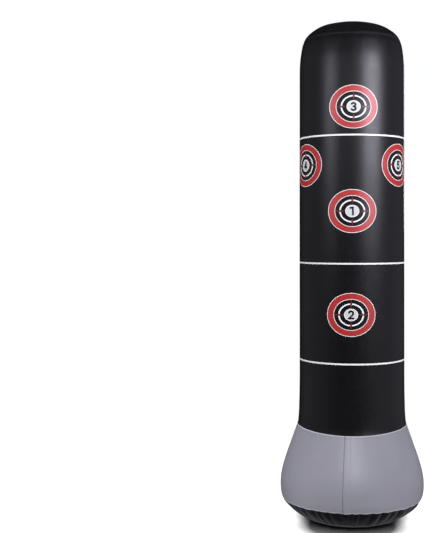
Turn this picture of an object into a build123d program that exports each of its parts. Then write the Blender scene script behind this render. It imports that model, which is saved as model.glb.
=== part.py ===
"""Free-standing inflatable boxing tower, 1.6 m tall: an air-filled column on a water-filled base.

Millimetres, +Z up, origin at the centre of the footprint on the floor. The front, with the numbered
targets, faces -Y, and both inflation valves are at the back, facing +Y.
"""

from build123d import *
from dataclasses import dataclass
from math import cos, radians, sin
import os

# Film envelope: radii and heights of the outer surface
total_height = 1600.0
column_radius = 169.5
base_radius = 232.0
base_radius_height = 112.0
foot_radius = 125.0
film = 1.0
weld_width = 10.0
weld_gap = 0.2
cut_gap = 0.2

bottom_seam = (224.0, 67.0)
base_seam = (178.5, 295.0)
top_seam = (156.0, 1537.0)
neck_split_height = 405.0
column_bottom_height = 511.0
shoulder_height = 1440.0
partition_sag = 22.0

# Directions of the profile where two films are welded, going up
bottom_lean = (0.39, 0.92)
base_lean = (-0.34, 0.94)
top_lean = (-0.32, 0.95)

# Ballast
water_level = 190.0
water_clearance = 3.0

# Printing
ink = 0.3
ink_gap = 0.1
stripe_heights = (514.2, 825.0, 1225.0)
stripe_width = 5.6
target_half_width = 74.5
target_half_height = 67.5
target_places = {  # numeral: angle from the front, to the right, in degrees, and height
    "3": (1.9, 1309.0),
    "1": (0.5, 988.0),
    "2": (-0.7, 668.0),
    "5": (59.2, 1134.0),
    "4": (-59.2, 1134.0),
}
# Edges of the target's rings, as shares of its half size
red_outside = 0.96
red_inside = 0.722
line_inside = 0.686
arcs_outside = 0.538
arcs_inside = 0.457
ticks_outside = 0.655
ticks_inside = 0.345
disc_outside = 0.293
disc_inside = 0.26
arc_gap = 5.6
tick_width = 2.0
numeral_width = 14.4
numeral_height = 21.4
numeral_stroke = 4.8

# Inflation valves
valve_film = 0.8
flange_depth = 1.2
small_gap = 0.1
plug_clearance = 0.05
plug_stands_out = 1.5
tether_width = 4.0

os.makedirs("parts", exist_ok=True)


def save(piece, name):
    """Labels a finished piece and writes it as its own STEP file."""
    piece.part.label = name
    export_step(piece.part, f"parts/{name}.step")


def shifted(point, lean, along=0.0, inwards=0.0):
    """A profile point moved along a direction that goes up, and across it towards the inside."""
    ahead = Vector(lean).normalized()
    inside = Vector(-ahead.Y, ahead.X)
    return Vector(point) + ahead * along + inside * inwards


def close_film(*spans, thickness):
    """Closes a film's outline: draws the line its spans make again, moved inside by its thickness."""
    for span in spans:
        stops = [step / 8 for step in range(9)]
        face = [shifted(span @ stop, span % stop, inwards=thickness) for stop in stops]
        if span.geom_type == GeomType.LINE:
            Line(face[0], face[-1])
        else:
            Spline(*face, tangents=(span % 0, span % 1))
    Line(spans[0] @ 0, shifted(spans[0] @ 0, spans[0] % 0, inwards=thickness))
    Line(spans[-1] @ 1, shifted(spans[-1] @ 1, spans[-1] % 1, inwards=thickness))


# ---------------------------------------------------------------- inflation valves
@dataclass
class Valve:
    """A push-in valve. Its seat plane touches the film's outer face and looks outwards, y upwards."""

    name: str
    seat: Plane
    hole: float  # radius of the hole in the film
    flange: float
    bore: float
    stem: float
    lip: float
    length: float
    head: float
    head_depth: float

    def __post_init__(self):
        self.section = Plane(self.seat.origin, x_dir=self.seat.x_dir, z_dir=-self.seat.y_dir)
        self.axis = Axis(self.seat.origin, self.seat.z_dir)
        self.lip_top = plug_stands_out - self.head_depth
        self.lip_depth = 0.09 * self.length
        self.inner_end = self.lip_top - self.length


water_valve_tilt = radians(20.6)
air_valve = Valve(
    name="air_valve",
    seat=Plane((0, column_radius, 640.0), x_dir=(-1, 0, 0), z_dir=(0, 1, 0)),
    hole=13.0,
    flange=24.0,
    bore=4.5,
    stem=7.0,
    lip=8.5,
    length=20.0,
    head=8.5,
    head_depth=3.0,
)
water_valve = Valve(
    name="water_valve",
    seat=Plane(
        (0, 200.6, 235.0),
        x_dir=(-1, 0, 0),
        z_dir=(0, cos(water_valve_tilt), sin(water_valve_tilt)),
    ),
    hole=21.0,
    flange=36.0,
    bore=10.5,
    stem=13.5,
    lip=16.0,
    length=24.0,
    head=15.5,
    head_depth=3.6,
)


def cut_valve_hole(valve):
    """Cuts the hole for a valve in the film that is being built."""
    with BuildSketch(valve.seat.offset(valve.hole)) as opening:
        Circle(valve.hole)
    extrude(opening.sketch, amount=-2 * valve.hole, mode=Mode.SUBTRACT)


# ---------------------------------------------------------------- film envelope
# Each weld is a straight lap, with one film's margin lying inside the other's.
lap = film + weld_gap


def skirt_profile(out=0.0):
    """Outer line of the grey skirt, going up, in three spans, moved away from the axis by out."""
    bottom = Vector(bottom_seam) + Vector(out, 0)
    top = Vector(base_seam) + Vector(out, 0)
    low_weld = Line(bottom, shifted(bottom, bottom_lean, along=weld_width))
    high_weld = Line(shifted(top, base_lean, along=-weld_width), top)
    side = Spline(
        low_weld @ 1,
        (base_radius + out, base_radius_height),
        (223.5 + out, 168.0),
        high_weld @ 0,
        tangents=(bottom_lean, base_lean),
    )
    return low_weld, side, high_weld


def column_profile(out=0.0):
    """Outer line of the column's straight tube, going up, moved away from the axis by out."""
    radius = column_radius + out
    return (Line((radius, column_bottom_height), (radius, shoulder_height)),)


# Grey skirt of the water chamber
with BuildPart() as base_skirt:
    with BuildSketch(Plane.XZ):
        with BuildLine():
            close_film(*skirt_profile(), thickness=film)
        make_face()
    revolve(axis=Axis.Z)
    cut_valve_hole(water_valve)
save(base_skirt, "base_skirt")

# Black bottom: a flat foot that curves up to its weld margin inside the skirt
bottom_end = shifted(bottom_seam, bottom_lean, inwards=lap)

with BuildPart() as bottom_disc:
    with BuildSketch(Plane.XZ):
        with BuildLine():
            foot = Line((0, 0), (foot_radius, 0))
            side = Spline(foot @ 1, (185.0, 24.0), bottom_end, tangents=((1, 0), bottom_lean))
            margin = Line(bottom_end, shifted(bottom_end, bottom_lean, along=weld_width))
            close_film(foot, side, margin, thickness=film)
        make_face()
    revolve(axis=Axis.Z)
save(bottom_disc, "bottom_disc")

# Lower band of the black neck, which bends: its bottom margin is welded inside the skirt
neck_end = shifted(base_seam, base_lean, inwards=lap)
neck_margin = shifted(neck_end, base_lean, along=-weld_width)

with BuildPart() as neck_film_lower:
    with BuildSketch(Plane.XZ):
        with BuildLine():
            margin = Line(neck_margin, neck_end)
            side = Spline(
                neck_end,
                (172.0, 338.0),
                (column_radius, neck_split_height - cut_gap),
                tangents=(base_lean, (0, 1)),
            )
            close_film(margin, side, thickness=film)
        make_face()
    revolve(axis=Axis.Z)
save(neck_film_lower, "neck_film_lower")

# Upper band of the neck, which bends too
with BuildPart() as neck_film_upper:
    with BuildSketch(Plane.XY.offset(neck_split_height)):
        Circle(column_radius)
        Circle(column_radius - film, mode=Mode.SUBTRACT)
    extrude(amount=column_bottom_height - cut_gap - neck_split_height)
save(neck_film_upper, "neck_film_upper")

# Black column tube with its rounded shoulder
wall_weld = shifted(top_seam, top_lean, along=-weld_width)

with BuildPart() as column_wall:
    with BuildSketch(Plane.XZ):
        with BuildLine():
            tube = column_profile()[0]
            shoulder = Spline(tube @ 1, (166.3, 1487.0), wall_weld, tangents=((0, 1), top_lean))
            margin = Line(wall_weld, top_seam)
            close_film(tube, shoulder, margin, thickness=film)
        make_face()
    revolve(axis=Axis.Z)
    cut_valve_hole(air_valve)
save(column_wall, "column_wall")

# Black domed top disc, with its margin welded inside the tube's top edge
cap_end = shifted(top_seam, top_lean, inwards=lap)

with BuildPart() as top_cap:
    with BuildSketch(Plane.XZ):
        with BuildLine():
            margin = Line(shifted(cap_end, top_lean, along=-weld_width), cap_end)
            dome = Spline(
                cap_end,
                (139.5, 1559.0),
                (109.5, 1580.0),
                (60.0, 1593.5),
                (0.0, total_height),
                tangents=(top_lean, (-1, 0)),
            )
            close_film(margin, dome, thickness=film)
        make_face()
    revolve(axis=Axis.Z)
save(top_cap, "top_cap")

# Diaphragm between air and water, hanging from its margin inside the neck's
partition_end = shifted(neck_end, base_lean, inwards=lap)
partition_fold = shifted(partition_end, base_lean, along=-weld_width)

with BuildPart() as chamber_partition:
    with BuildSketch(Plane.XZ):
        with BuildLine():
            dish_floor = partition_fold.Y - partition_sag
            dish_corner = (0.6 * column_radius, dish_floor)
            path = (partition_end, partition_fold, dish_corner, (0, dish_floor))
            FilletPolyline(*path, radius=[4.0, 90.0])
            offset(amount=film, side=Side.RIGHT)
        make_face()
    revolve(axis=Axis.Z)
save(chamber_partition, "chamber_partition")

# Water that weighs the base down, standing clear of the film
with BuildPart() as water_ballast:
    with BuildSketch(Plane.XZ):
        with BuildLine():
            Line((0, water_clearance), (foot_radius - water_clearance, water_clearance))
            Spline(
                (foot_radius - water_clearance, water_clearance),
                (181.0, 28.0),
                (base_radius - water_clearance - 2.0, base_radius_height),
                (212.5, water_level),
                tangents=((1, 0), (-0.34, 1)),
            )
            Polyline((212.5, water_level), (0, water_level), (0, water_clearance))
        make_face()
    revolve(axis=Axis.Z)
save(water_ballast, "water_ballast")


# ---------------------------------------------------------------- printing on the column
def over_column(low, high, mode):
    """A thin layer over the column between two heights, added to or kept from the part being built."""
    inside = column_radius + ink_gap
    with BuildSketch(Plane.XY.offset(low)) as layer:
        Circle(inside + ink)
        Circle(inside, mode=Mode.SUBTRACT)
    extrude(layer.sketch, amount=high - low, mode=mode)


# Three white stripes round the column
with BuildPart() as white_stripes:
    for height in stripe_heights:
        over_column(height - stripe_width / 2, height + stripe_width / 2, Mode.ADD)
save(white_stripes, "white_stripes")


def ring(outside, inside):
    """A flat ring of the target between two shares of its half size."""
    Ellipse(outside * target_half_width, outside * target_half_height)
    Ellipse(inside * target_half_width, inside * target_half_height, mode=Mode.SUBTRACT)


def cross(width):
    """Takes an upright cross as large as the target out of the sketch."""
    Rectangle(width, 2 * target_half_height, mode=Mode.SUBTRACT)
    Rectangle(2 * target_half_width, width, mode=Mode.SUBTRACT)


def white_arcs(numeral):
    """The broken white ring in the middle of the target."""
    ring(arcs_outside, arcs_inside)
    cross(arc_gap)


def red_ticks(numeral):
    """Four short strokes that point at the numeral through the gaps of the broken ring."""
    middle = (ticks_outside + ticks_inside) / 2
    reach = ticks_outside - ticks_inside
    with Locations((middle * target_half_width, 0), (-middle * target_half_width, 0)):
        Rectangle(reach * target_half_width, tick_width)
    with Locations((0, middle * target_half_height), (0, -middle * target_half_height)):
        Rectangle(tick_width, reach * target_half_height)


def figure(numeral):
    """The numeral, drawn with a stroke of even width that has round ends and corners."""
    w, h = numeral_width / 2, numeral_height / 2
    with BuildLine() as stroke:
        if numeral == "1":
            Polyline((-0.75 * w, 0.85 * h), (0.25 * w, h), (0.25 * w, -h))
        if numeral == "2":
            ThreePointArc((-w, 0.5 * h), (0.1 * w, h), (0.9 * w, 0.25 * h))
            Polyline((0.9 * w, 0.25 * h), (-w, -h), (w, -h))
        if numeral == "3":
            ThreePointArc((-w, 0.65 * h), (0.75 * w, 0.7 * h), (-0.2 * w, 0.05 * h))
            ThreePointArc((-0.2 * w, 0.05 * h), (w, -0.6 * h), (-w, -0.65 * h))
        if numeral == "4":
            Polyline((w, -0.4 * h), (-w, -0.4 * h), (0.4 * w, h), (0.4 * w, -h))
        if numeral == "5":
            Polyline((0.9 * w, h), (-0.7 * w, h), (-0.8 * w, 0.05 * h))
            ThreePointArc((-0.8 * w, 0.05 * h), (0.95 * w, -0.3 * h), (-w, -0.75 * h))
    for edge in stroke.edges():
        trace(edge, line_width=numeral_stroke)
        with Locations(edge @ 0, edge @ 1):
            Circle(numeral_stroke / 2)


def print_targets(name, draw):
    """One colour of all the targets: flat shapes pushed onto a thin layer over the column."""
    reach = 0.2 * column_radius
    with BuildPart() as colour:
        for numeral, (angle, height) in target_places.items():
            across = (cos(radians(angle)), sin(radians(angle)), 0)
            out = (sin(radians(angle)), -cos(radians(angle)), 0)
            face = Plane((0, 0, height), x_dir=across, z_dir=out)
            with BuildSketch(face.offset(column_radius - reach)):
                draw(numeral)
            extrude(amount=1.2 * reach)
        over_column(column_bottom_height, shoulder_height, Mode.INTERSECT)
    save(colour, name)


def white_lines(numeral):
    """Three thin white lines: round the target, inside its red ring and round the numeral."""
    ring(1.0, red_outside)
    with BuildSketch(mode=Mode.PRIVATE) as inner:
        ring(red_inside, line_inside)
    add(inner.sketch)
    with BuildSketch(mode=Mode.PRIVATE) as rim:
        ring(disc_outside, disc_inside)
    add(rim.sketch)


print_targets("target_white_lines", white_lines)
print_targets("target_red_rings", lambda numeral: ring(red_outside, red_inside))
print_targets("target_white_arcs", white_arcs)
print_targets("target_red_ticks", red_ticks)


def number_disc(numeral):
    """The light grey disc, left out where the numeral is printed."""
    Ellipse(disc_inside * target_half_width, disc_inside * target_half_height)
    with BuildSketch(mode=Mode.PRIVATE) as cut:
        figure(numeral)
    add(cut.sketch, mode=Mode.SUBTRACT)


print_targets("target_number_discs", number_disc)
print_targets("target_numerals", figure)


# ---------------------------------------------------------------- valve pieces
def turn(valve, outline, rounded):
    """Turns a closed outline about the valve's axis, with its outermost corners rounded."""
    with BuildSketch(valve.section) as half:
        with BuildLine():
            Polyline(*outline, close=True)
        make_face()
        fillet(half.vertices().group_by(Axis.X)[-1], radius=rounded)
    revolve(half.sketch, axis=valve.axis)


def build_flange(valve, profile):
    """The ring that is welded on the film and follows its curve."""
    with BuildPart() as flange:
        with BuildSketch(Plane.XZ):
            with BuildLine():
                close_film(*profile(small_gap), thickness=-flange_depth)
            make_face()
        revolve(axis=Axis.Z)
        with BuildSketch(valve.seat.offset(-valve.flange)):
            Circle(valve.flange)
            Circle(valve.hole, mode=Mode.SUBTRACT)
        extrude(amount=2 * valve.flange, mode=Mode.INTERSECT)
    save(flange, f"{valve.name}_flange")


def build_boot(valve):
    """The soft cup from the flange down to the stem's inner end, which lets the stem come out."""
    wall = valve.hole - small_gap
    floor = valve.inner_end + valve_film
    with BuildPart() as boot:
        with BuildSketch(valve.section):
            with BuildLine():
                FilletPolyline(
                    (wall, -valve_film),
                    (wall, floor),
                    (valve.stem + small_gap, floor),
                    radius=3.0,
                )
                offset(amount=valve_film, side=Side.RIGHT)
            make_face()
        revolve(axis=valve.axis)
    save(boot, f"{valve.name}_boot")


def build_stem(valve):
    """The tube that the pump or hose goes in, with a lip round its mouth."""
    under_lip = valve.lip_top - valve.lip_depth
    outline = [
        (valve.bore, valve.inner_end),
        (valve.stem, valve.inner_end),
        (valve.stem, under_lip),
        (valve.lip, under_lip),
        (valve.lip, valve.lip_top),
        (valve.bore, valve.lip_top),
    ]
    with BuildPart() as stem:
        turn(valve, outline, rounded=0.3 * valve.lip_depth)
    save(stem, f"{valve.name}_stem")


def build_plug(valve):
    """The stopper: a flat head with a tab to pull it by, and a stub that fills the bore."""
    under_head = valve.lip_top + small_gap
    stub = valve.bore - plug_clearance
    stub_end = valve.lip_top - 0.6 * valve.length
    outline = [
        (0, plug_stands_out),
        (valve.head, plug_stands_out),
        (valve.head, under_head),
        (stub, under_head),
        (stub, stub_end + 1.0),
        (stub - 1.0, stub_end),
        (0, stub_end),
    ]
    with BuildPart() as plug:
        turn(valve, outline, rounded=0.3 * valve.head_depth)
        with BuildSketch(valve.seat.offset(under_head)):
            with Locations((1.0 - valve.head, 0)):
                RectangleRounded(6.0, 7.0, radius=1.5)
        extrude(amount=0.5 * valve.head_depth)
    save(plug, f"{valve.name}_plug")


def build_tether(valve):
    """The strap that keeps the plug on the stem, folded in a U beside them."""
    low = valve.lip_top - 0.9 * valve.lip_depth
    high = valve.lip_top + 0.5 * valve.head_depth
    bend = valve.lip + 2.4
    with BuildPart() as tether:
        with BuildSketch(valve.section):
            with BuildLine():
                FilletPolyline(
                    (valve.lip + small_gap, low),
                    (bend, low),
                    (bend, high),
                    (valve.head + small_gap, high),
                    radius=0.4 * (high - low),
                )
                offset(amount=valve_film, side=Side.LEFT)
            make_face()
        extrude(amount=tether_width / 2, both=True)
    save(tether, f"{valve.name}_tether")


def build_flap(valve):
    """The check flap that closes the stem's inner end, hinged on its upper edge."""
    hinge_strap = valve.stem - valve.bore
    with BuildPart() as flap:
        with BuildSketch(valve.seat.offset(valve.inner_end - small_gap)):
            Circle(valve.bore + 1.2)
            with Locations((0, valve.stem - 0.75 * hinge_strap)):
                Rectangle(1.2 * valve.bore, 1.5 * hinge_strap)
        extrude(amount=-valve_film)
    save(flap, f"{valve.name}_flap")


for each_valve, film_profile in ((air_valve, column_profile), (water_valve, skirt_profile)):
    build_flange(each_valve, film_profile)
    build_boot(each_valve)
    build_stem(each_valve)
    build_plug(each_valve)
    build_tether(each_valve)
    build_flap(each_valve)
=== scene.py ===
from math import cos, pi, radians, sin, tau

import bpy
import numpy as np
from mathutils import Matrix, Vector


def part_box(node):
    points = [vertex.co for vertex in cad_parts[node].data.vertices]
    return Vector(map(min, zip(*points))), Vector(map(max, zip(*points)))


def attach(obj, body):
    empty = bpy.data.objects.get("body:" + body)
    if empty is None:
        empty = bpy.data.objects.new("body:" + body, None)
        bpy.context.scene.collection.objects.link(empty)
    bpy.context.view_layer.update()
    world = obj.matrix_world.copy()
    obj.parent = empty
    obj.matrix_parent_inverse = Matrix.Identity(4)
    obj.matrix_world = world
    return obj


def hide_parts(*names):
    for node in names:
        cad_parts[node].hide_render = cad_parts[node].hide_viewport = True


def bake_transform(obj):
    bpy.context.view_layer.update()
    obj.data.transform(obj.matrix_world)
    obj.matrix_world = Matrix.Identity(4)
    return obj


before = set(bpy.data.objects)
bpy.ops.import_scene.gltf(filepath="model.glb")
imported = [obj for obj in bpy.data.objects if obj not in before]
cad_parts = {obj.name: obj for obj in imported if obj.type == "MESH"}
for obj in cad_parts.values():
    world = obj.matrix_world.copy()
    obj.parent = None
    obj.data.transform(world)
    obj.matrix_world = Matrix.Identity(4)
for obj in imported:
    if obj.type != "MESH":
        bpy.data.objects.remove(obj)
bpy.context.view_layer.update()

# ---------------------------------------------------------------- sizes, in metres
MM = 0.001
FILM = 0.8 * MM
LAP = 1.2 * MM  # how far inside the outer film the inner one lies at a weld
WELD = 9 * MM  # from a film's cut edge to the groove that the welding bar leaves

PRINT_STANDS_OUT = 0.4 * MM  # how far the CAD's printed stripes reach out from the film
COLUMN_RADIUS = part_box("white_stripes")[1].x - PRINT_STANDS_OUT
COLUMN_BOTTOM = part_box("column_wall")[0].z
NECK_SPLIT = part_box("neck_film_upper")[0].z
BASE_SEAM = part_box("base_skirt")[1].z
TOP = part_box("top_cap")[1].z
FOOT_RADIUS = 0.125
SEAM_BOTTOM = (0.224, 0.067)  # each seam's radius and height
SEAM_BASE = (0.1785, BASE_SEAM)
SEAM_TOP = (0.1542, 1.5405)
SKIRT_TOP = 0.2985  # the mean height of its cut edge, which dips at the front and back

STRIPES = (0.5132, 0.8235, 1.2215)  # heights
STRIPE_WIDTH = 5.0 * MM
TARGETS = {  # numeral: degrees from the front to the right, height
    "3": (1.9, 1.308),
    "1": (0.5, 0.986),
    "2": (-0.7, 0.666),
    "5": (59.2, 1.132),
    "4": (-59.2, 1.132),
}
TARGET_HALF_WIDTH = 77 * MM  # along the film
TARGET_HALF_HEIGHT = 67.5 * MM
SKIRT_LAP_ANGLE = radians(-6.6)
COLUMN_LAP_ANGLE = radians(152)


# ---------------------------------------------------------------- shapes round the axis
def spot(angle, radius, height):
    """A point at an angle from the front, counted to the right, round the tower's axis."""
    return np.stack(np.broadcast_arrays(radius * np.sin(angle), -radius * np.cos(angle), height), -1)


def smooth_line(points, steps=60):
    """A smooth line through a few (radius, height) points."""
    p = np.array(points, float)
    p = np.vstack([2 * p[0] - p[1], p, 2 * p[-1] - p[-2]])
    pieces = []
    for a, b, c, d in zip(p, p[1:], p[2:], p[3:]):
        t = np.linspace(0, 1, steps, endpoint=False)[:, None]
        pieces.append(
            0.5 * (2 * b + (c - a) * t + (2 * a - 5 * b + 4 * c - d) * t**2 + (3 * b - a - 3 * c + d) * t**3)
        )
    return np.vstack(pieces + [p[-2]])


def stops_between(length, coarse, fine_low=0.0, fine_high=0.0, fine=1.1 * MM):
    """Distances along a film, closely spaced near the ends that need it."""
    low = np.arange(0, fine_low, fine)
    high = length - np.arange(0, fine_high, fine)[::-1]
    count = max(2, int((length - fine_low - fine_high) / coarse))
    middle = np.linspace(fine_low, length - fine_high, count + 1)
    return np.unique(np.round(np.concatenate([low, middle, high, [length]]), 6))


def along_line(line, stops=None):
    """Points of a line at the given distances along it, or with none given, its own distances."""
    reach = np.concatenate([[0], np.cumsum(np.linalg.norm(np.diff(line, axis=0), axis=1))])
    if stops is None:
        return reach
    return np.stack([np.interp(stops, reach, line[:, 0]), np.interp(stops, reach, line[:, 1])], -1)


def angles_round(count, laps=()):
    """Angles round the tower, with more of them across each vertical lap."""
    near = np.concatenate([np.arange(-2.2, 0.8, 0.2), np.arange(1, 26, 0.8)]) * MM
    extra = [lap + near / COLUMN_RADIUS for lap in laps]
    angles = np.concatenate([np.linspace(-pi, pi, count, endpoint=False), *extra])
    return np.unique(np.round(angles, 5))


def turn(line, angles, lift):
    """The line turned round the axis, each point moved out along the line's normal by lift."""
    way = np.gradient(line, axis=0)
    way /= np.maximum(np.linalg.norm(way, axis=1), 1e-9)[:, None]
    radius = line[:, :1] + way[:, 1:] * lift
    height = line[:, 1:] - way[:, :1] * lift
    return spot(angles[None, :], radius, height)


def grid_faces(rows, columns, closed):
    """Quads of a grid of points, row by row, joined round if closed."""
    r, c = np.meshgrid(np.arange(rows - 1), np.arange(columns if closed else columns - 1), indexing="ij")
    ahead = (c + 1) % columns
    corners = [r * columns + c, r * columns + ahead, (r + 1) * columns + ahead, (r + 1) * columns + c]
    return [tuple(quad) for quad in np.stack(corners, -1).reshape(-1, 4).tolist()]


def thicken(points, faces, depth):
    """A closed skin: the faces, the same ones moved back by depth, and a rim along every open edge."""
    triangles = np.array([(f[0], f[i], f[i + 1]) for f in faces for i in range(1, len(f) - 1)])
    a, b, c = (points[triangles[:, i]] for i in range(3))
    across = np.cross(b - a, c - a)
    normal = np.zeros_like(points)
    for i in range(3):
        np.add.at(normal, triangles[:, i], across)
    normal /= np.maximum(np.linalg.norm(normal, axis=1), 1e-12)[:, None]
    count = len(points)
    edges = {(u, v) for f in faces for u, v in zip(f, f[1:] + f[:1])}
    rim = [(v, u, u + count, v + count) for u, v in edges if (v, u) not in edges]
    inner = [tuple(i + count for i in reversed(f)) for f in faces]
    return np.vstack([points, points - depth * normal]), faces + inner + sorted(rim)


def make_piece(name, points, faces, material, sharp=40):
    """A mesh object with smooth shading, sharp only where it turns by more than sharp degrees."""
    mesh = bpy.data.meshes.new(name)
    mesh.from_pydata([tuple(p) for p in points], [], [tuple(f) for f in faces])
    mesh.validate()
    mesh.polygons.foreach_set("use_smooth", [True] * len(mesh.polygons))
    mesh.set_sharp_from_angle(angle=radians(sharp))
    mesh.materials.append(material)
    piece = bpy.data.objects.new(name, mesh)
    bpy.context.scene.collection.objects.link(piece)
    return piece


def film_piece(name, grid, material, depth=FILM, holes=(), pole=None):
    """A film as a closed skin round the tower, with holes left out as (centre, radius)."""
    rows, columns = grid.shape[:2]
    points = grid.reshape(-1, 3)
    faces = grid_faces(rows, columns, True)
    for centre, radius in holes:
        middle = points[np.array(faces)].mean(axis=1)
        away = np.linalg.norm(middle - np.array(centre), axis=1) > radius
        faces = [f for f, keep in zip(faces, away) if keep]
    if pole is not None:
        row = 0 if pole[2] < 0.5 else rows - 1
        ring = [row * columns + c for c in range(columns)]
        points = np.vstack([points, pole])
        centre = len(points) - 1
        for u, v in zip(ring, ring[1:] + ring[:1]):
            faces.append((v, u, centre) if row == 0 else (u, v, centre))
    points, faces = thicken(points, faces, depth)
    return make_piece(name, points, faces, material)


# ---------------------------------------------------------------- uneven film
def smoothstep(low, high, x):
    """0 below low, 1 above high, and smooth between."""
    t = np.clip((x - low) / (high - low), 0, 1)
    return t * t * (3 - 2 * t)


def waves(angle, height, turns, seed):
    """Broad dents, from about -1 to 1: a few waves that go round a whole number of times."""
    rng = np.random.default_rng(seed)
    total = 0
    for turn_count in turns:
        phase, lean = rng.uniform(0, tau), rng.uniform(-7, 7)
        total = total + np.cos(turn_count * angle + lean * height + phase) / len(turns)
    return total


def gathers(angle, distance, count, reach, seed):
    """Puckers at a gathered seam: 0 in each crease, up to 1 between, fading with distance from the seam."""
    rng = np.random.default_rng(seed)
    widths = rng.uniform(0.45, 1.55, count)
    edges = np.concatenate([[0], np.cumsum(widths)]) / widths.sum() * tau
    heights = (widths / widths.max()) ** 0.7 * rng.uniform(0.5, 1.0, count)
    reaches = reach * rng.uniform(0.45, 1.6, count)
    place = (angle + 0.02 * np.sin(5 * angle) * distance / reach) % tau
    cell = np.clip(np.searchsorted(edges, place, side="right") - 1, 0, count - 1)
    share = (place - edges[cell]) / (edges[cell + 1] - edges[cell])
    return heights[cell] * (1 - np.abs(2 * share - 1) ** 1.7) * np.exp(-(distance / reaches[cell]) ** 1.3)


def groove(distance, at, depth=0.35 * MM, width=0.9 * MM):
    """The line that a welding bar presses into the film."""
    return -depth * np.exp(-(((distance - at) / width) ** 2))


def vertical_lap(angle, edge, radius, step=FILM, overlap=16 * MM):
    """A vertical lap: the film steps up at its edge, lies over the other, and settles down again."""
    right = ((angle - edge + pi) % tau - pi) * radius
    raised = smoothstep(-0.2 * MM, 0.2 * MM, right) * (1 - smoothstep(overlap, overlap + 7 * MM, right))
    gap = groove(right, -0.6 * MM, 1.9 * MM, 0.55 * MM)
    ridges = sum(0.15 * MM * np.exp(-(((right - at * MM) / (1.1 * MM)) ** 2)) for at in (7, 12, 18))
    return step * raised + gap + ridges


def column_lift(angle, height):
    """How far the column's film stands out from a true cylinder, at any angle and height."""
    broad = 0.35 * MM * waves(angle, height, (2, 3, 5), seed=11)
    fine = 0.06 * MM * waves(angle, 5 * height, (9, 14, 17), seed=12)
    lap = vertical_lap(angle, COLUMN_LAP_ANGLE, COLUMN_RADIUS)
    return broad + fine + lap


# ---------------------------------------------------------------- materials
def new_material(name):
    """A node material with its Principled shader."""
    material = bpy.data.materials.new(name)
    material.use_nodes = True
    tree = material.node_tree
    return material, tree, tree.nodes["Principled BSDF"]


def add_node(tree, kind, inputs=(), **settings):
    """A node with its settings and input values."""
    node = tree.nodes.new(kind)
    for key, value in settings.items():
        setattr(node, key, value)
    for key, value in dict(inputs).items():
        node.inputs[key].default_value = value
    return node


def noise(tree, place, scale, detail=3.0, rough=0.55):
    """Noise over the object's own coordinates."""
    node = add_node(tree, "ShaderNodeTexNoise", {"Scale": scale, "Detail": detail, "Roughness": rough})
    tree.links.new(place.outputs["Object"], node.inputs["Vector"])
    return node


def ramp(tree, source, low, high, value_low, value_high):
    """Maps a stretch of the source's range onto another."""
    node = add_node(
        tree,
        "ShaderNodeMapRange",
        {"From Min": low, "From Max": high, "To Min": value_low, "To Max": value_high},
    )
    tree.links.new(source, node.inputs["Value"])
    return node.outputs["Result"]


def combine(tree, operation, first, second):
    """Sum or product of two values."""
    node = add_node(tree, "ShaderNodeMath", operation=operation)
    tree.links.new(first, node.inputs[0])
    tree.links.new(second, node.inputs[1])
    return node.outputs["Value"]


def vinyl(name, colour, other, roughness, spread, grain=0.06, grain_size=1400, specular=0.5, metallic=0.0):
    """Vinyl: two close shades in clouds, a fine pressed grain, and rubbed and dusty patches in the gloss."""
    material, tree, shader = new_material(name)
    place = add_node(tree, "ShaderNodeTexCoord")
    clouds = noise(tree, place, 9, detail=5)
    smudges = noise(tree, place, 55, detail=4, rough=0.65)
    pressed = add_node(tree, "ShaderNodeTexVoronoi", {"Scale": grain_size}, feature="SMOOTH_F1")
    tree.links.new(place.outputs["Object"], pressed.inputs["Vector"])
    ripple = noise(tree, place, 160, detail=2)

    mix = add_node(tree, "ShaderNodeMix", data_type="RGBA")
    mix.inputs["A"].default_value = (*colour, 1)
    mix.inputs["B"].default_value = (*other, 1)
    tree.links.new(ramp(tree, clouds.outputs["Fac"], 0.35, 0.7, 0, 1), mix.inputs["Factor"])
    tree.links.new(mix.outputs["Result"], shader.inputs["Base Color"])
    gloss = ramp(tree, smudges.outputs["Fac"], 0.3, 0.75, roughness - spread, roughness + spread)
    tree.links.new(gloss, shader.inputs["Roughness"])

    wide = add_node(tree, "ShaderNodeBump", {"Strength": 0.35, "Distance": 0.15 * MM})
    tree.links.new(ripple.outputs["Fac"], wide.inputs["Height"])
    close = add_node(tree, "ShaderNodeBump", {"Strength": grain, "Distance": 0.1 * MM})
    tree.links.new(pressed.outputs["Distance"], close.inputs["Height"])
    tree.links.new(wide.outputs["Normal"], close.inputs["Normal"])
    tree.links.new(close.outputs["Normal"], shader.inputs["Normal"])
    shader.inputs["Specular IOR Level"].default_value = specular
    shader.inputs["Metallic"].default_value = metallic
    return material


def ink(name, colour, other, roughness, specular=0.9):
    """Printed ink on vinyl: nearly even, with a screen's faint mottle and small rubbed spots."""
    material, tree, shader = new_material(name)
    place = add_node(tree, "ShaderNodeTexCoord")
    mottle = noise(tree, place, 600, detail=2)
    rubbed = noise(tree, place, 38, detail=6, rough=0.7)
    mix = add_node(tree, "ShaderNodeMix", data_type="RGBA")
    mix.inputs["A"].default_value = (*colour, 1)
    mix.inputs["B"].default_value = (*other, 1)
    tree.links.new(ramp(tree, rubbed.outputs["Fac"], 0.45, 0.8, 0, 1), mix.inputs["Factor"])
    tree.links.new(mix.outputs["Result"], shader.inputs["Base Color"])
    gloss = ramp(tree, mottle.outputs["Fac"], 0.3, 0.7, roughness - 0.04, roughness + 0.05)
    tree.links.new(gloss, shader.inputs["Roughness"])
    bump = add_node(tree, "ShaderNodeBump", {"Strength": 0.12, "Distance": 0.05 * MM})
    tree.links.new(mottle.outputs["Fac"], bump.inputs["Height"])
    tree.links.new(bump.outputs["Normal"], shader.inputs["Normal"])
    shader.inputs["Specular IOR Level"].default_value = specular
    return material


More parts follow.
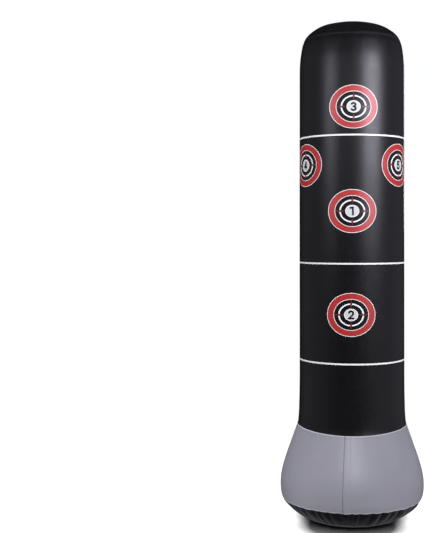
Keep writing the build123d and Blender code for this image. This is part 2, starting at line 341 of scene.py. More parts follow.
black_vinyl = vinyl("black_vinyl", (0.0020, 0.0020, 0.0025), (0.0028, 0.0028, 0.0034), 0.37, 0.04)
silver_vinyl = vinyl(
    "silver_vinyl", (0.262, 0.260, 0.308), (0.282, 0.280, 0.330), 0.44, 0.04, grain=0.1, metallic=0.3,
    specular=0.7,
)
# A lighter copy of the silver vinyl: a painted highlight along the skirt's cut edges.
silver_edge_highlight = vinyl("silver_edge_painted_highlight", (0.42, 0.42, 0.46), (0.48, 0.48, 0.52), 0.45, 0.05)
black_cut_edge = vinyl("black_cut_edge", (0.008, 0.008, 0.009), (0.011, 0.011, 0.012), 0.5, 0.05)
inner_vinyl = vinyl("inner_vinyl", (0.02, 0.02, 0.023), (0.03, 0.03, 0.034), 0.45, 0.05)
valve_vinyl = vinyl(
    "valve_vinyl", (0.018, 0.018, 0.020), (0.028, 0.028, 0.031), 0.42, 0.06, grain=0.15, grain_size=900,
)
plug_plastic = vinyl(
    "plug_plastic", (0.030, 0.030, 0.034), (0.040, 0.040, 0.045), 0.33, 0.05, grain=0.2, grain_size=2200,
)
white_ink = ink("white_ink", (0.62, 0.62, 0.62), (0.56, 0.56, 0.57), 0.42)
red_ink = ink("red_ink", (0.29, 0.009, 0.007), (0.24, 0.007, 0.006), 0.42)
grey_ink = ink("grey_ink", (0.42, 0.43, 0.435), (0.37, 0.38, 0.385), 0.42)
black_ink = ink("black_ink", (0.004, 0.004, 0.0045), (0.006, 0.006, 0.007), 0.40, specular=0.3)


def make_water():
    """Clear water with a slight tint."""
    material, tree, shader = new_material("water")
    place = add_node(tree, "ShaderNodeTexCoord")
    ripples = noise(tree, place, 14, detail=2)
    bump = add_node(tree, "ShaderNodeBump", {"Strength": 0.2, "Distance": 2 * MM})
    tree.links.new(ripples.outputs["Fac"], bump.inputs["Height"])
    tree.links.new(bump.outputs["Normal"], shader.inputs["Normal"])
    shader.inputs["Base Color"].default_value = (0.75, 0.9, 0.92, 1)
    shader.inputs["Transmission Weight"].default_value = 1.0
    shader.inputs["IOR"].default_value = 1.333
    shader.inputs["Roughness"].default_value = 0.02
    return material


# ---------------------------------------------------------------- valves' places
class Valve:
    """Where a valve sits and its main sizes: radii, the stem's length and the depth of the plug's head."""

    def __init__(self, name, body, seat, tilt, hole, flange, stem, lip, length, head, head_depth):
        self.name, self.body = name, body
        self.seat = Vector(seat)
        self.out = Vector((0, cos(tilt), sin(tilt)))
        self.up = Vector((0, -sin(tilt), cos(tilt)))
        self.side = Vector((-1, 0, 0))
        self.hole, self.flange, self.stem, self.lip, self.head = hole, flange, stem, lip, head
        self.head_depth = head_depth
        self.lip_top = 1.5 * MM - head_depth
        self.inner_end = self.lip_top - length
        self.lip_depth = 0.09 * length

    def at(self, radius, angle, out):
        """A point at a radius and angle round the valve's axis, and a distance outwards."""
        ring = self.side * (radius * cos(angle)) + self.up * (radius * sin(angle))
        return self.seat + ring + self.out * out


VALVES = (
    Valve("air_valve", "column", (0, COLUMN_RADIUS, 0.640), 0.0, 13 * MM, 24 * MM, 7 * MM, 8.5 * MM,
          20 * MM, 8.5 * MM, 3 * MM),
    Valve("water_valve", "root", (0, 0.2006, 0.235), radians(20.6), 21 * MM, 36 * MM, 13.5 * MM, 16 * MM,
          24 * MM, 15.5 * MM, 3.6 * MM),
)
AIR_VALVE, WATER_VALVE = VALVES


# ---------------------------------------------------------------- films
SHOULDER_START = 1.400


def shoulder_profile():
    """The column's shoulder, up to its cut edge."""
    return smooth_line([
        (COLUMN_RADIUS, SHOULDER_START), (COLUMN_RADIUS, 1.430), (0.1691, 1.455), (0.1676, 1.478),
        (0.1652, 1.497), (0.1625, 1.513), (0.1598, 1.525), SEAM_TOP,
    ])


TUBE_ROWS = (  # first height, end and spacing of the tube's rows, closer together round the air valve
    (COLUMN_BOTTOM, 0.60, 28 * MM),
    (0.610, 0.671, 4 * MM),
    (0.69, SHOULDER_START, 30 * MM),
)
TOP_PUCKERS = dict(count=84, seed=21)
column_angles = angles_round(620, [COLUMN_LAP_ANGLE])
tube_heights = np.concatenate([np.arange(*rows) for rows in TUBE_ROWS])
tube = np.stack([np.full(len(tube_heights), COLUMN_RADIUS), tube_heights], -1)
shoulder = shoulder_profile()
shoulder_stops = stops_between(along_line(shoulder)[-1], 7 * MM, fine_high=12 * MM)
column_line = np.vstack([tube, along_line(shoulder, shoulder_stops)])


def make_column():
    """The black tube, its shoulder puckered where it is gathered to the cap."""
    z = column_line[:, 1:]
    from_edge = along_line(column_line)[-1] - along_line(column_line)[:, None]
    angle = column_angles[None, :]
    pucker = 0.7 * MM * gathers(angle, from_edge, reach=20 * MM, **TOP_PUCKERS)
    weld = groove(from_edge, WELD) * np.ones_like(angle)
    lift = column_lift(angle, z) + pucker + weld
    grid = turn(column_line, column_angles, lift)
    hole = (tuple(AIR_VALVE.seat), AIR_VALVE.hole + 2.5 * MM)
    piece = film_piece("column_film", grid, black_vinyl, holes=[hole])
    paint_cut_edges(piece, grid, black_cut_edge, 1.8 * MM, both=False)
    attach(piece, "column")
    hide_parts("column_wall")


def make_cap():
    """The domed black top disc, with radial puckers inside its weld."""
    seam = (SEAM_TOP[0] - LAP, SEAM_TOP[1] - 0.3 * MM)
    margin = (seam[0] + 3.0 * MM, seam[1] - WELD)
    dome = smooth_line([
        margin, seam, (0.1492, 1.5483), (0.1400, 1.5590), (0.1272, 1.5693), (0.1095, 1.5797),
        (0.0860, 1.5880), (0.0590, 1.5938), (0.0300, 1.5985), (0.006, TOP),
    ])
    length = along_line(dome)[-1]
    stops = stops_between(length, 4.5 * MM, fine_low=16 * MM)
    line = along_line(dome, stops)
    from_seam = np.maximum(stops - WELD, 0)[:, None]
    angle = column_angles[None, :]
    pucker = gathers(angle, from_seam, reach=30 * MM, **TOP_PUCKERS)
    grown = 0.7 + 0.9 * smoothstep(0, 6 * MM, from_seam)
    fade = smoothstep(0, 0.08, line[:, :1])
    inside_seam = smoothstep(0, 30 * MM, from_seam)
    broad = 0.8 * MM * waves(angle, 8 * line[:, :1], (2, 3, 5), seed=31) * fade * inside_seam
    grid = turn(line, column_angles, grown * MM * pucker * fade + broad)
    piece = film_piece("cap_film", grid, black_vinyl, pole=(0, 0, TOP))
    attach(piece, "column")
    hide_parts("top_cap")


def neck_line():
    """The neck film from its margin inside the skirt up to the column."""
    seam = (SEAM_BASE[0] - LAP, SEAM_BASE[1] - 0.4 * MM)
    return smooth_line([
        (seam[0] + 3.6 * MM, seam[1] - 10 * MM), seam, (0.1743, 0.309), (0.1728, 0.325), (0.1716, 0.345),
        (0.1708, 0.372), (0.1701, 0.402), (COLUMN_RADIUS, 0.455), (COLUMN_RADIUS, COLUMN_BOTTOM),
    ])


def make_neck():
    """The neck in two bands: the lower from the base up to the split, the upper from there to the column."""
    line = neck_line()
    reach = along_line(line)
    split = float(np.interp(NECK_SPLIT, line[:, 1], reach))
    length = reach[-1]
    low_stops = stops_between(split, 4 * MM, fine_low=14 * MM)
    high_stops = split + stops_between(length - split, 6 * MM)
    for name, stops, node, bodies, span in (
        ("neck_lower_film", low_stops, "neck_film_lower", ("root", "neck"), (BASE_SEAM + 4 * MM, NECK_SPLIT)),
        ("neck_upper_film", high_stops, "neck_film_upper", ("neck", "column"), (NECK_SPLIT, COLUMN_BOTTOM)),
    ):
        band = along_line(line, stops)
        angle = column_angles[None, :]
        past_seam = np.maximum(stops - 10.5 * MM, 0)[:, None]
        pucker = 0.5 * MM * gathers(angle, past_seam, 64, 16 * MM, seed=41)
        lift = column_lift(angle, band[:, 1:]) * smoothstep(0.295, 0.36, band[:, 1:]) + pucker
        piece = film_piece(name, turn(band, column_angles, lift), black_vinyl)
        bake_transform(piece)
        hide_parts(node)


def seam_dip(angle, along):
    """How far the skirt's line is let down: the seam dips at the front and back, and less below it."""
    return -5 * MM * np.cos(2 * angle) * smoothstep(0.12, 0.235, along)


def skirt_lift(angle, height, low, high):
    """How far the skirt's film stands out, given the distances to its low and high cut edges."""
    broad = 1.1 * MM * waves(angle, 3 * height, (2, 3, 4, 7), seed=51)
    settle = smoothstep(0, 30 * MM, low) * smoothstep(0, 25 * MM, high)
    pucker_low = 1.1 * MM * gathers(angle, low, reach=26 * MM, **BOTTOM_PLEATS)
    pucker_high = 0.5 * MM * gathers(angle, high, 64, 20 * MM, seed=41)
    weld = groove(low, WELD) + groove(high, WELD)
    return broad * settle + pucker_low + pucker_high + weld + vertical_lap(angle, SKIRT_LAP_ANGLE, 0.21)


BOTTOM_PLEATS = dict(count=46, seed=61)
skirt_angles = angles_round(780, [SKIRT_LAP_ANGLE])


def make_skirt():
    """The silver skirt, with a painted highlight along its cut edges at both ends."""
    whole = smooth_line([
        SEAM_BOTTOM, (0.2277, 0.0762), (0.2307, 0.088), (0.2320, 0.104), (0.2316, 0.124), (0.2290, 0.143),
        (0.2232, 0.168), (0.2152, 0.194), (0.2061, 0.220), (0.1963, 0.246), (0.1866, 0.272), SEAM_BASE,
        (0.1760, 0.305), (0.1738, 0.320),
    ])
    length = float(np.interp(SKIRT_TOP, whole[:, 1], along_line(whole)))
    stops = stops_between(length, 7.5 * MM, fine_low=12 * MM, fine_high=12 * MM)
    valve_along = float(np.interp(WATER_VALVE.seat.z, whole[:, 1], along_line(whole)))
    stops = np.unique(np.concatenate([stops, valve_along + np.arange(-28, 32, 8) * MM]))
    low, high = stops[:, None], (length - stops)[:, None]
    grid = np.empty((len(stops), len(skirt_angles), 3))
    drawn_up = 2.2 * MM * (1 - gathers(skirt_angles, 0.0, reach=26 * MM, **BOTTOM_PLEATS))
    near_bottom = 1 - smoothstep(0, 25 * MM, stops)
    for column, angle in enumerate(skirt_angles):
        line = along_line(whole, stops + seam_dip(angle, stops) + drawn_up[column] * near_bottom)
        grid[:, [column]] = turn(line, skirt_angles[[column]], skirt_lift(angle, line[:, 1:], low, high))
    hole = (tuple(WATER_VALVE.seat), WATER_VALVE.hole + 3 * MM)
    piece = film_piece("skirt_film", grid, silver_vinyl, holes=[hole])
    # Painted highlight: a paler band along both of the skirt's cut edges.
    paint_cut_edges(piece, grid, silver_edge_highlight, 1.3 * MM)
    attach(piece, "root")
    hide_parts("base_skirt")


def paint_cut_edges(piece, grid, material, width, both=True):
    """Gives the faces along a film's top cut edge, or both of them, the paler material of cut film; on the
    skirt that pale band is a painted highlight along the edge.
    """
    piece.data.materials.append(material)
    columns = grid.shape[1]
    count = grid.shape[0] * columns
    low_rows = int(np.sum(np.linalg.norm(grid[:, 0] - grid[0, 0], axis=1) < width))
    high_rows = int(np.sum(np.linalg.norm(grid[:, 0] - grid[-1, 0], axis=1) < width))
    for face in piece.data.polygons:
        rows = [vertex % count // columns for vertex in face.vertices]
        if both and max(rows) <= low_rows or min(rows) >= grid.shape[0] - 1 - high_rows:
            face.material_index = 1


def make_bottom():
    """The black bottom, gathered in deep pleats at its weld and flat under its foot."""
    seam = (SEAM_BOTTOM[0] - LAP, SEAM_BOTTOM[1] + 0.6 * MM)
    curve = smooth_line([
        (FOOT_RADIUS, 0.0002), (0.140, 0.0016), (0.1555, 0.0058), (0.1720, 0.0145), (0.1868, 0.0255),
        (0.2010, 0.0375), (0.2130, 0.0503), (0.2195, 0.0605), seam, (seam[0] + 3.9 * MM, seam[1] + 9.2 * MM),
    ])
    foot = np.stack([np.linspace(0.02, FOOT_RADIUS - 6 * MM, 5), np.zeros(5)], -1)
    stops = stops_between(along_line(curve)[-1], 3 * MM, fine_high=16 * MM, fine=1.3 * MM)
    line = np.vstack([foot, along_line(curve, stops)])
    reach = along_line(line)
    seam_at = float(np.interp(seam[1], line[:, 1], reach))
    below = np.maximum(seam_at - reach, 0)[:, None]
    angle = skirt_angles[None, :]
    pleat = gathers(angle, below, reach=62 * MM, **BOTTOM_PLEATS)
    small = gathers(angle + 0.03, below, 150, 26 * MM, seed=62)
    deep = smoothstep(0, 9 * MM, below)
    off_floor = smoothstep(FOOT_RADIUS - 4 * MM, FOOT_RADIUS + 30 * MM, line[:, :1])
    lift = (1.1 * MM + 5.0 * MM * deep) * pleat + 1.6 * MM * deep * small - 3.4 * MM * deep
    grid = turn(line, skirt_angles, lift * off_floor)
    grid[..., 2] = np.maximum(grid[..., 2], 0)
    piece = film_piece("bottom_film", grid, black_vinyl, pole=(0, 0, 0))
    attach(piece, "root")
    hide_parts("bottom_disc")


make_column()
make_cap()
make_neck()
make_skirt()
make_bottom()


# ---------------------------------------------------------------- printing
PRINT_DEPTH = 0.12 * MM


def on_column(right, height, out):
    """Points on the column's film, a distance to the right of the front and a distance out from it."""
    angle = right / COLUMN_RADIUS
    return spot(angle, COLUMN_RADIUS + column_lift(angle, height) + out, height)


class Print:
    """One colour printed on the column, gathered from many flat patches of film."""

    def __init__(self, name, node, slot, material, out):
        self.name, self.node, self.slot, self.material, self.out = name, node, slot, material, out
        self.points, self.faces = [], []

    def patch(self, right, height, faces):
        """Adds a patch of the film: points in its flat layout, and the faces between them."""
        points = on_column(np.ravel(right), np.ravel(height), self.out)
        skin, skin_faces = thicken(points, faces, PRINT_DEPTH)
        start = sum(len(p) for p in self.points)
        self.points.append(skin)
        self.faces += [tuple(i + start for i in f) for f in skin_faces]

    def done(self):
        """Makes the object."""
        piece = make_piece(self.name, np.vstack(self.points), self.faces, self.material)
        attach(piece, "column")
        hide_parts(self.node)


def ring_patch(layer, centre, outside, inside, begin=0.0, end=tau, gap=0.0):
    """An elliptical ring, or an arc of it whose ends stand gap away from the target's cross lines."""
    steps = max(2, int((outside - inside) * TARGET_HALF_WIDTH / (2.5 * MM)) + 1)
    share = np.linspace(inside, outside, steps)[:, None]
    trim_low = np.arcsin(gap / (share * TARGET_HALF_HEIGHT)) if gap else 0 * share
    trim_high = np.arcsin(gap / (share * TARGET_HALF_WIDTH)) if gap else 0 * share
    if gap and round(begin / (pi / 2)) % 2:
        trim_low, trim_high = trim_high, trim_low
    closed = not gap
    count = 144 if closed else 37
    t = np.linspace(0, 1, count, endpoint=not closed)[None, :]
    angle = begin + trim_low + t * (end - begin - trim_low - trim_high)
    right = centre[0] + share * TARGET_HALF_WIDTH * np.cos(angle)
    height = centre[1] + share * TARGET_HALF_HEIGHT * np.sin(angle)
    layer.patch(right, height, [f[::-1] for f in grid_faces(steps, count, closed)])


def disc_patch(layer, centre, outside):
    """An elliptical disc."""
    steps, count = 9, 96
    share = np.linspace(outside / steps, outside, steps)[:, None]
    angle = np.linspace(0, tau, count, endpoint=False)[None, :]
    right = centre[0] + share * TARGET_HALF_WIDTH * np.cos(angle)
    height = centre[1] + share * TARGET_HALF_HEIGHT * np.sin(angle)
    faces = [f[::-1] for f in grid_faces(steps, count, True)]
    faces += [(c, (c + 1) % count, steps * count) for c in range(count)]
    layer.patch(np.append(right, centre[0]), np.append(height, centre[1]), faces)


def bar_patch(layer, low, high):
    """An upright rectangle between two corners of the flat film."""
    across = np.linspace(low[0], high[0], max(2, int((high[0] - low[0]) / (2.5 * MM)) + 2))
    up = np.linspace(low[1], high[1], 8)
    right, height = np.meshgrid(across, up)
    layer.patch(right, height, grid_faces(len(up), len(across), False))


def arc_points(centre, size, begin, end, steps=14):
    """Points of an elliptical arc of a numeral, in degrees anticlockwise from the right."""
    angle = np.radians(np.linspace(begin, end, steps))
    return [(centre[0] + size[0] * a, centre[1] + size[1] * b) for a, b in zip(np.cos(angle), np.sin(angle))]


NUMERALS = {  # lines of each numeral, in a box from -1 to 1 each way
    "1": [[(-0.78, 0.86), (-0.1, 0.95), (0.25, 1.0), (0.25, -1.0)]],
    "2": [arc_points((0, 0.42), (0.86, 0.58), 165, -35) + [(-0.9, -1.0), (0.95, -1.0)]],
    "3": [arc_points((-0.05, 0.50), (0.80, 0.50), 150, -90)
          + arc_points((-0.05, -0.5), (0.92, 0.50), 90, -150)],
    "4": [[(0.95, -0.42), (-0.95, -0.42), (0.38, 1.0), (0.38, -1.0)]],
    "5": [[(0.80, 1.0), (-0.62, 1.0), (-0.72, 0.10)] + arc_points((-0.02, -0.35), (0.86, 0.65), 128, -152)],
}
NUMERAL_HALF = (7.5 * MM, 11.0 * MM)
NUMERAL_STROKE = 2.9 * MM  # half the stroke's width


def distance_to_lines(x, y, lines):
    """Distance from points of the flat film to the nearest stroke of a numeral."""
    nearest = np.full(x.shape, 1.0)
    for line in lines:
        p = np.array(line) * NUMERAL_HALF
        for a, b in zip(p, p[1:]):
            step = b - a
            share = np.clip(((x - a[0]) * step[0] + (y - a[1]) * step[1]) / max(step @ step, 1e-12), 0, 1)
            nearest = np.minimum(nearest, np.hypot(x - a[0] - share * step[0], y - a[1] - share * step[1]))
    return nearest


def numeral_patch(layer, centre, lines, cell=0.55 * MM):
    """A numeral: the part of the film nearer to its strokes than half their width, cell by cell."""
    reach_x = NUMERAL_HALF[0] + NUMERAL_STROKE + cell
    reach_y = NUMERAL_HALF[1] + NUMERAL_STROKE + cell
    xs, ys = np.arange(-reach_x, reach_x + cell, cell), np.arange(-reach_y, reach_y + cell, cell)
    x, y = np.meshgrid(xs, ys)
    depth = NUMERAL_STROKE - distance_to_lines(x, y, lines)
    points, faces, known = [], [], {}

    def corner(row, column, other=None):
        """Number of a grid point, or of the place between two of them where the numeral's edge runs."""
        key = (row, column) if other is None else tuple(sorted([(row, column), other]))
        if key not in known:
            share = 0.0
            end = other or (row, column)
            if other:
                share = depth[row, column] / (depth[row, column] - depth[end])
            known[key] = len(points)
            points.append((x[row, column] + share * (x[end] - x[row, column]),
                           y[row, column] + share * (y[end] - y[row, column])))
        return known[key]

    for row in range(len(ys) - 1):
        for column in range(len(xs) - 1):
            ring = [(row, column), (row, column + 1), (row + 1, column + 1), (row + 1, column)]
            face = []
            for here, after in zip(ring, ring[1:] + ring[:1]):
                if depth[here] > 0:
                    face.append(corner(*here))
                if (depth[here] > 0) != (depth[after] > 0):
                    face.append(corner(*here, after))
            if len(face) > 2:
                faces.append(tuple(face))
    points = np.array(points)
    layer.patch(centre[0] + points[:, 0], centre[1] + points[:, 1], faces)


def print_targets():
    """The numbered targets, colour by colour."""
    lines = Print("target_line_prints", "target_white_lines", "white_ink", white_ink, 0.2 * MM)
    rings = Print("target_ring_prints", "target_red_rings", "red_ink", red_ink, 0.2 * MM)
    arcs = Print("target_arc_prints", "target_white_arcs", "white_ink", white_ink, 0.2 * MM)
    ticks = Print("target_tick_prints", "target_red_ticks", "red_ink", red_ink, 0.2 * MM)
    discs = Print("number_disc_prints", "target_number_discs", "grey_ink", grey_ink, 0.2 * MM)
    numerals = Print("numeral_prints", "target_numerals", "black_ink", black_ink, 0.34 * MM)
    for numeral, (degrees_right, height) in TARGETS.items():
        centre = (radians(degrees_right) * COLUMN_RADIUS, height)
        ring_patch(lines, centre, 1.0, 0.976)
        ring_patch(rings, centre, 0.976, 0.722)
        ring_patch(lines, centre, 0.722, 0.698)
        for quarter in range(4):
            ring_patch(arcs, centre, 0.523, 0.462, quarter * pi / 2, (quarter + 1) * pi / 2, gap=2.8 * MM)
        for way in (-1, 1):
            near, far = sorted((way * 0.345, way * 0.655))
            half = 0.75 * MM
            bar_patch(ticks, (centre[0] + near * TARGET_HALF_WIDTH, height - half),
                      (centre[0] + far * TARGET_HALF_WIDTH, height + half))
            bar_patch(ticks, (centre[0] - half, height + near * TARGET_HALF_HEIGHT),
                      (centre[0] + half, height + far * TARGET_HALF_HEIGHT))
        ring_patch(lines, centre, 0.282, 0.256)
        disc_patch(discs, centre, 0.256)
        numeral_patch(numerals, centre, NUMERALS[numeral])
    for layer in (lines, rings, arcs, ticks, discs, numerals):
        layer.done()


def print_stripes():
    """Three white stripes round the column."""
    layer = Print("stripe_prints", "white_stripes", "white_ink", white_ink, 0.2 * MM)
    for height in STRIPES:
        up = np.linspace(height - STRIPE_WIDTH / 2, height + STRIPE_WIDTH / 2, 5)
        right, z = np.meshgrid(column_angles * COLUMN_RADIUS, up)
        layer.patch(right, z, grid_faces(len(up), len(column_angles), True))
    layer.done()


print_targets()
print_stripes()


# ---------------------------------------------------------------- valves
def lathe_valve(valve, outline, steps=96):
    """A closed outline of (radius, out) points turned round the valve's axis."""
    points = [valve.at(radius, tau * i / steps, out) for radius, out in outline for i in range(steps)]
    total = len(outline) * steps
    faces = [tuple(i % total for i in f) for f in grid_faces(len(outline) + 1, steps, True)]
    return points, faces


def make_flange(valve):
    """The ring welded on the film, with a rounded rim and fine pressed ribs."""
    steps, rings = 160, 40
    crown, rounding = 1.2 * MM, 1.0 * MM
    rib_height, rib_pitch, plain_rim = 0.12 * MM, 2.2 * MM, 2 * MM
    points = []
    for radius in np.linspace(valve.hole, valve.flange, rings):
        edge = min(radius - valve.hole, valve.flange - radius)
        height = crown * min(1.0, (edge / rounding) ** 0.5) if edge > 0 else 0.0
        ribs = rib_height * cos(tau * (radius - valve.hole) / rib_pitch) if edge > plain_rim else 0.0
        for i in range(steps):
            flat = valve.at(radius, tau * i / steps, 0)
            drop = film_depth(valve, flat)
            points.append(flat + valve.out * (0.15 * MM + height + ribs - drop))
    faces = grid_faces(rings, steps, True)
    # These faces look towards the film, so the depth is added outwards and narrows the bore.
    skin, skin_faces = thicken(np.array([tuple(p) for p in points]), faces, 0.9 * MM)
    piece = make_piece(f"{valve.name}_welded_flange", skin, skin_faces, valve_vinyl)
    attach(piece, valve.body)
    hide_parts(f"{valve.name}_flange")


def film_depth(valve, flat):
    """How far the film lies behind the valve's seat plane at a point of that plane."""
    if valve is AIR_VALVE:
        return COLUMN_RADIUS - (COLUMN_RADIUS**2 - flat.x**2) ** 0.5
    along = (flat - valve.seat).dot(valve.up)
    radius_here = valve.seat.y - along * valve.out.z
    return (radius_here - (radius_here**2 - flat.x**2) ** 0.5) * valve.out.y


def make_boot(valve):
    """The soft cup round the stem, in its resting shape; the real cup turns inside out as the stem is pulled.
    """
    wall, floor = valve.hole - 0.2 * MM, valve.inner_end + 0.6 * MM
    thin = 0.7 * MM
    middle = 0.5 * floor
    path = [
        (wall, -0.3 * MM), (wall, 0.25 * floor), (wall - 0.5 * MM, middle), (wall, 0.75 * floor),
        (wall - 0.6 * MM, floor + 1.6 * MM), (wall - 2.4 * MM, floor + 0.1 * MM),
        (valve.stem + 0.2 * MM, floor),
    ]
    line = smooth_line(path, steps=8)
    way = np.gradient(line, axis=0)
    way /= np.linalg.norm(way, axis=1)[:, None]
    inner = line + thin * np.stack([way[:, 1], -way[:, 0]], -1)
    outline = [tuple(p) for p in line] + [tuple(p) for p in inner[::-1]]
    points, faces = lathe_valve(valve, outline)  # in this order the faces look into the wall
    piece = make_piece(f"{valve.name}_soft_boot", points, faces, valve_vinyl)
    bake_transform(piece)
    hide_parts(f"{valve.name}_boot")


def make_tether(valve):
    """The strap from the stem's lip to the plug's head, folded in a U."""
    low = valve.lip_top - 0.5 * valve.lip_depth
    high = valve.lip_top + 0.5 * valve.head_depth
    bend = 0.5 * (high - low)
    turn_at = valve.lip + 1.6 * MM
    path = [(valve.lip - 0.5 * MM, low)]
    path += [(turn_at + bend * sin(a), 0.5 * (low + high) - bend * cos(a)) for a in np.linspace(0, pi, 12)]
    path += [(valve.head - 0.5 * MM, high)]
    line = np.array(path)
    way = np.gradient(line, axis=0)
    way /= np.linalg.norm(way, axis=1)[:, None]
    half = 0.4 * MM
    width = 2.0 * MM
    ring = [(-1, -1), (1, -1), (1, 1), (-1, 1)]
    points = []
    for (radius, out), (across, up) in zip(line, way):
        for thick, wide in ring:
            r, w = radius + thick * half * up, out - thick * half * across
            points.append(valve.seat + valve.side * r + valve.out * w + valve.up * (wide * width))
    faces = grid_faces(len(line), 4, True)
    faces += [(3, 2, 1, 0), tuple(len(points) - 4 + i for i in range(4))]
    piece = make_piece(f"{valve.name}_strap", points, faces, valve_vinyl)
    bevel = piece.modifiers.new("rounded", "BEVEL")
    bevel.width, bevel.segments = 0.15 * MM, 2
    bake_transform(piece)
    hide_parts(f"{valve.name}_tether")


for each_valve in VALVES:
    make_flange(each_valve)
    make_boot(each_valve)
    make_tether(each_valve)


# ---------------------------------------------------------------- finishes of the CAD pieces that stay
def finish_node(node, material):
    """Gives a CAD piece a procedural material."""
    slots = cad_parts[node].material_slots
    for slot in slots:
        slot.material = material


finish_node("chamber_partition", inner_vinyl)
finish_node("water_ballast", make_water())
for each_valve in VALVES:
    finish_node(f"{each_valve.name}_stem", valve_vinyl)
    finish_node(f"{each_valve.name}_flap", valve_vinyl)
    finish_node(f"{each_valve.name}_plug", plug_plastic)


# ---------------------------------------------------------------- stage, light and camera
FLOOR_RADIUS = 1.2
PAINTED_SHADOWS = (  # painted contact shadows, where the floor's glow fades out: centre, half width and half depth, and the shares of these where it starts and stops to fade
    ((0, 0, 0), (FOOT_RADIUS, FOOT_RADIUS, 1), 1.16, 1.50),
    ((0, -0.112, 0), (0.157, 0.155, 1), 0.84, 1.16),
)


def make_floor():
    """A pale, softly glowing floor, with a painted contact shadow where its glow fades out round the foot and
    in front of it.
    """
    material, tree, shader = new_material("studio_floor")
    place = add_node(tree, "ShaderNodeTexCoord")
    speckle = noise(tree, place, 3, detail=4)
    gloss = ramp(tree, speckle.outputs["Fac"], 0.3, 0.7, 0.5, 0.6)
    tree.links.new(gloss, shader.inputs["Roughness"])
    shader.inputs["Base Color"].default_value = (0.18, 0.18, 0.18, 1)
    shader.inputs["Specular IOR Level"].default_value = 0.15
    shader.inputs["Emission Color"].default_value = (1, 1, 1, 1)

    # Painted shadow: the glow is taken away in soft ellipses round the foot and in front of it.
    shares = []
    for centre, reach, low, high in PAINTED_SHADOWS:
        moved = add_node(tree, "ShaderNodeVectorMath", operation="SUBTRACT")
        tree.links.new(place.outputs["Object"], moved.inputs[0])
        moved.inputs[1].default_value = centre
        scaled = add_node(tree, "ShaderNodeVectorMath", operation="DIVIDE")
        tree.links.new(moved.outputs["Vector"], scaled.inputs[0])
        scaled.inputs[1].default_value = reach
        length = add_node(tree, "ShaderNodeVectorMath", operation="LENGTH")
        tree.links.new(scaled.outputs["Vector"], length.inputs[0])
        shares.append(ramp(tree, length.outputs["Value"], low, high, 0, 1))
    tree.links.new(combine(tree, "MULTIPLY", *shares), shader.inputs["Emission Strength"])

    steps = 96
    rim = [tuple(p) for p in spot(np.linspace(0, tau, steps, endpoint=False), FLOOR_RADIUS, 0.0)]
    floor = make_piece("studio_floor", rim, [tuple(range(steps))], material)
    floor.visible_glossy = False  # the black film shows no bright floor in its reflection


def make_light(name, azimuth, distance, height, target_height, size, power, colour=(1, 1, 1)):
    """A soft box at an angle from the front, aimed at the tower's axis."""
    lamp = bpy.data.lights.new(name, "AREA")
    lamp.shape = "RECTANGLE"
    lamp.size, lamp.size_y = size
    lamp.energy = power
    lamp.color = colour
    light = bpy.data.objects.new(name, lamp)
    bpy.context.scene.collection.objects.link(light)
    angle = radians(azimuth)
    light.location = (distance * sin(angle), -distance * cos(angle), height)
    aim = Vector((0, 0, target_height)) - light.location
    light.rotation_euler = aim.to_track_quat("-Z", "Y").to_euler()
    return light


def collect(name, pieces):
    """A collection of some of the pieces, for the lights that shine on them alone."""
    collection = bpy.data.collections.new(name)
    for piece in pieces:
        collection.objects.link(piece)
    return collection


def light_only(pieces, light):
    """Restricts a light to some of the pieces."""
    light.light_linking.receiver_collection = pieces


ROOM_DARK = 0.012  # brightness of what the tower reflects: the room, its walls and its floor
ROOM_LEFT = 0.21
ROOM_RIGHT = 0.27
ROOM_FLOOR = 0.30
UNDER_FOOT = 0.06  # the floor straight below
COOL = (0.94, 0.92, 1.06)


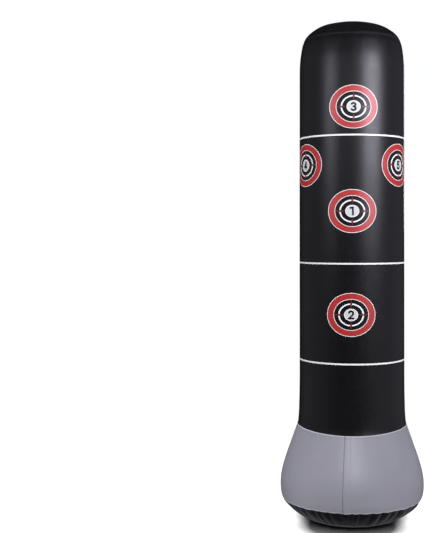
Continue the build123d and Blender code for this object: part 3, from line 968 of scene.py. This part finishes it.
def make_world():
    """A white surround for the camera. The tower reflects a dark room with dim walls at both sides."""
    world = bpy.data.worlds.new("studio")
    world.use_nodes = True
    tree = world.node_tree
    place = add_node(tree, "ShaderNodeTexCoord")
    parts = add_node(tree, "ShaderNodeSeparateXYZ")
    tree.links.new(place.outputs["Generated"], parts.inputs["Vector"])
    left = ramp(tree, parts.outputs["X"], -0.55, -0.95, 0, ROOM_LEFT)
    right = ramp(tree, parts.outputs["X"], 0.40, 0.90, 0, ROOM_RIGHT)
    low = ramp(tree, parts.outputs["Z"], 0.25, 0.60, 1, 0)
    dark = add_node(tree, "ShaderNodeValue")
    dark.outputs["Value"].default_value = ROOM_DARK
    slanting = ramp(tree, parts.outputs["Z"], -0.35, -0.55, 0, ROOM_FLOOR)
    straight_down = ramp(tree, parts.outputs["Z"], -0.65, -0.90, 0, UNDER_FOOT - ROOM_FLOOR)
    sides = combine(tree, "MULTIPLY", combine(tree, "ADD", left, right), low)
    below = combine(tree, "ADD", slanting, straight_down)
    room = combine(tree, "ADD", combine(tree, "ADD", sides, below), dark.outputs["Value"])
    seen = add_node(tree, "ShaderNodeLightPath")
    mix = add_node(tree, "ShaderNodeMix", data_type="FLOAT")
    tree.links.new(seen.outputs["Is Camera Ray"], mix.inputs["Factor"])
    tree.links.new(room, mix.inputs["A"])
    mix.inputs["B"].default_value = 1.0
    tint = add_node(tree, "ShaderNodeMix", data_type="RGBA")
    tree.links.new(seen.outputs["Is Camera Ray"], tint.inputs["Factor"])
    tint.inputs["A"].default_value = (*COOL, 1)
    tint.inputs["B"].default_value = (1, 1, 1, 1)
    background = tree.nodes["Background"]
    tree.links.new(mix.outputs["Result"], background.inputs["Strength"])
    tree.links.new(tint.outputs["Result"], background.inputs["Color"])
    bpy.context.scene.world = world


SENSOR = 36.0  # the sensor's long side and the distances on it, in millimetres
FOCAL_LENGTH = 67.5422
TOWER_OFFSET = 9.40863  # from the picture's middle to the tower's axis, to the right
HORIZON_OFFSET = 2.16811  # from the picture's middle to the level line
CAMERA_DISTANCE = 3.248
CAMERA_HEIGHT = 0.914


def make_camera():
    """A level camera. Half of the tower's offset is turned and half is shifted."""
    turned = 0.5 * TOWER_OFFSET
    data = bpy.data.cameras.new("camera")
    data.sensor_width = SENSOR
    data.lens = FOCAL_LENGTH
    data.shift_x = -(TOWER_OFFSET - turned) / SENSOR
    data.shift_y = -HORIZON_OFFSET / SENSOR
    camera = bpy.data.objects.new("camera", data)
    bpy.context.scene.collection.objects.link(camera)
    yaw = np.arctan2(turned, FOCAL_LENGTH)
    camera.location = (0, -CAMERA_DISTANCE / cos(yaw), CAMERA_HEIGHT)
    camera.rotation_euler = (radians(90), 0, yaw)
    bpy.context.scene.camera = camera


tower_pieces = [p for p in bpy.context.scene.objects if p.type == "MESH" and p.name != "skirt_film"]
tower = collect("tower_pieces", tower_pieces)
base = collect("base_pieces", [bpy.data.objects["skirt_film"]])
make_floor()
make_world()
light_only(tower, make_light("key_right", 42, 1.9, 1.62, 1.40, (1.15, 0.80), 32, COOL))
light_only(tower, make_light("fill_left", -44, 1.9, 1.62, 1.40, (0.85, 0.80), 7.9, COOL))
light_only(tower, make_light("front", 0, 1.9, 1.62, 1.40, (1.40, 0.80), 2.3, COOL))
light_only(tower, make_light("rear", 168, 1.9, 1.40, 1.20, (0.7, 0.9), 9, COOL))
light_only(base, make_light("base_front", 3, 2.4, 1.55, 0.2, (0.5, 0.40), 8))
light_only(base, make_light("base_rear", 170, 2.4, 1.55, 0.2, (0.6, 0.45), 5))
overhead = make_light("overhead", 0, 0.3, 3.0, 0.0, (7.0, 7.0), 520)
overhead.visible_glossy = False
make_camera()
bpy.context.scene.view_settings.view_transform = "Standard"
